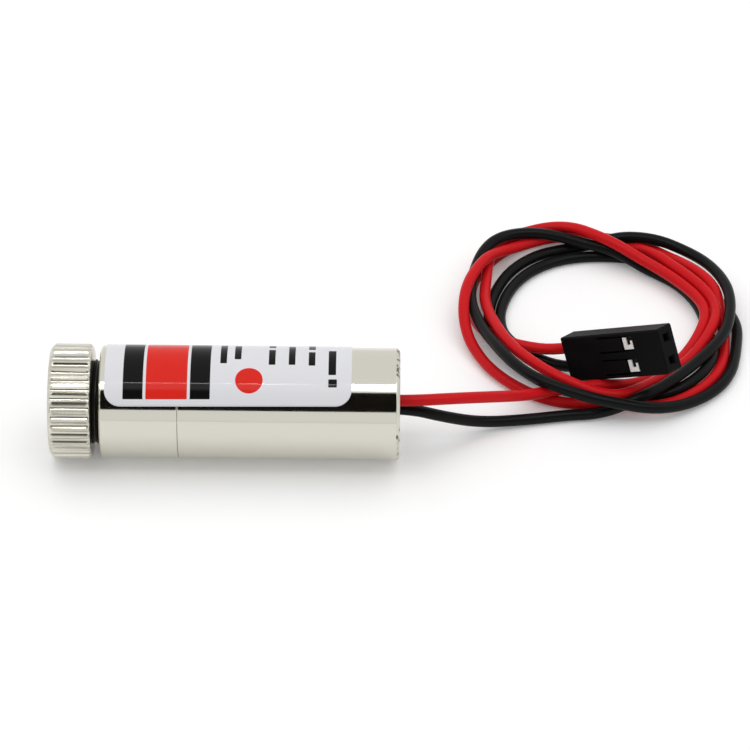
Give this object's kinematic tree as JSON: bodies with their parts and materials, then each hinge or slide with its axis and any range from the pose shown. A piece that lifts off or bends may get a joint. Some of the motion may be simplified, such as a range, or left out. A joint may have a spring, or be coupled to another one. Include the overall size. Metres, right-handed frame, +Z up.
{
  "type": "laser diode module",
  "caption": "Round laser module with a knurled focusing ring, a plated barrel to clamp, a sticker, and a red and a black lead coiled to a crimp connector.",
  "frame": {"origin": "on the optical axis, halfway along the round barrel that a holder clamps", "axes": "-X along the beam, out of the focusing ring; +X out of the cable end; +Z up"},
  "size_m": [0.0746, 0.0436, 0.0122],
  "materials": {
    "barrel_plating": "satin nickel plate",
    "knurled_plating": "bright nickel plate",
    "blackened_metal": "blackened",
    "lens_glass": "polished",
    "spring_steel": "drawn wire",
    "gold_plating": "gold plate",
    "board_laminate": "solder mask",
    "chip_black": "moulded",
    "capacitor_ceramic": "fired",
    "bare_copper": "bare copper",
    "solder": "bright solder",
    "plug_black": "cast resin",
    "label_paper": "coated, printed",
    "red_insulation": "extruded",
    "black_insulation": "extruded",
    "connector_black": "moulded",
    "terminal_plating": "tin plate"
  },
  "bodies": {
    "module": {"front_barrel": "barrel_plating", "rear_barrel": "barrel_plating", "diode_base": "gold_plating", "diode_can": "gold_plating", "diode_window": "lens_glass", "diode_pins": "gold_plating", "driver_board": "board_laminate", "driver_chip": "chip_black", "chip_resistors": "chip_black", "chip_capacitor": "capacitor_ceramic", "lead_cores": "bare_copper", "solder_joints": "solder", "rear_plug": "plug_black", "label": "label_paper", "red_lead": "red_insulation", "black_lead": "black_insulation", "wire_coil": "red_insulation", "red_tail": "red_insulation", "black_tail": "black_insulation", "connector_housing": "connector_black", "crimped_cores": "bare_copper", "red_terminal": "terminal_plating", "black_terminal": "terminal_plating"},
    "spring_carriage": {"focus_spring": "spring_steel"},
    "focus_head": {"focus_ring": "knurled_plating", "lens_cell": "blackened_metal", "focus_lens": "lens_glass", "lens_retainer": "blackened_metal"}
  },
  "joints": [
    {"name": "focus_travel", "type": "slide", "parent": "module", "child": "spring_carriage", "axis": [1, 0, 0], "range_m": [-0.00201, 0.00071], "deforming": ["focus_spring"]},
    {"name": "focus_turn", "type": "hinge", "parent": "spring_carriage", "child": "focus_head", "pos_m": [0, 0, 0], "axis": [1, 0, 0], "range_deg": [-1440, 504]}
  ],
  "couplings": [
    {"joint": "focus_travel", "follows": "focus_turn", "m_per_rad": 0.000079577}
  ]
}
